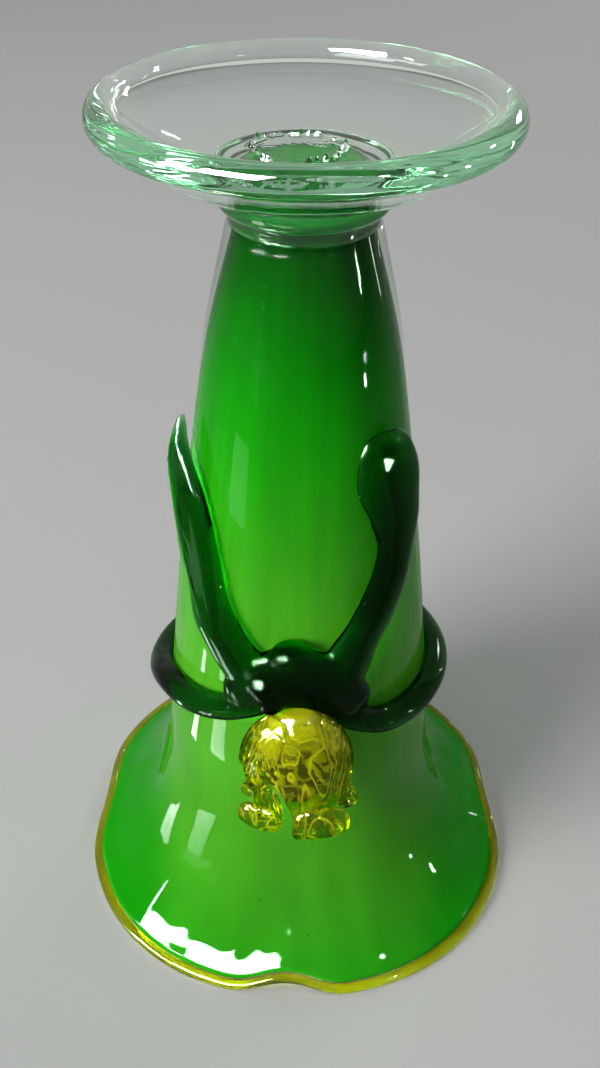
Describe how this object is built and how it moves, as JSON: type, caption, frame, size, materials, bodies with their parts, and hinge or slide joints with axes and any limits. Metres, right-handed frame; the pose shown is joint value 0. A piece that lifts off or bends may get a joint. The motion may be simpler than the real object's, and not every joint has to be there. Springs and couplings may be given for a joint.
{
  "type": "glass vase",
  "caption": "Trumpet vase in cased green glass with ruffled mouth, clear foot, dark stem and leaves and a yellow bud, stored mouth down.",
  "frame": {"origin": "centre of the mouth on the surface that the vase stands on, mouth down as pictured", "axes": "+Z from the mouth to the foot (downwards when the vase is turned over for use), -Y towards the applied flower, +X to the right seen from the flower's side"},
  "size_m": [0.1562, 0.1569, 0.28],
  "materials": {
    "opal_glass": "glossy opal, opaque",
    "green_glass": "glossy, cased over opal, darker towards the foot",
    "clear_glass": "fire polished, faint green tint in thick edges",
    "dark_green_glass": "glossy, nearly black where thick",
    "yellow_glass": "glossy transparent yellow",
    "yellow_rim_glass": "glossy transparent yellow-olive"
  },
  "bodies": {
    "root": {"opal_lining": "opal_glass", "green_casing": "green_glass", "clear_casing": "clear_glass", "rim_trail": "yellow_rim_glass", "foot_wafer": "clear_glass", "foot_disc": "clear_glass", "pontil_scar": "clear_glass", "stem_bridge": "dark_green_glass", "leaf_pointed": "dark_green_glass", "leaf_spoon": "dark_green_glass", "stem_ring": "dark_green_glass", "flower_heart": "yellow_glass", "petal_front_right": "yellow_glass", "petal_right": "yellow_glass", "petal_back": "yellow_glass", "petal_left": "yellow_glass", "petal_front_left": "yellow_glass"}
  },
  "joints": []
}
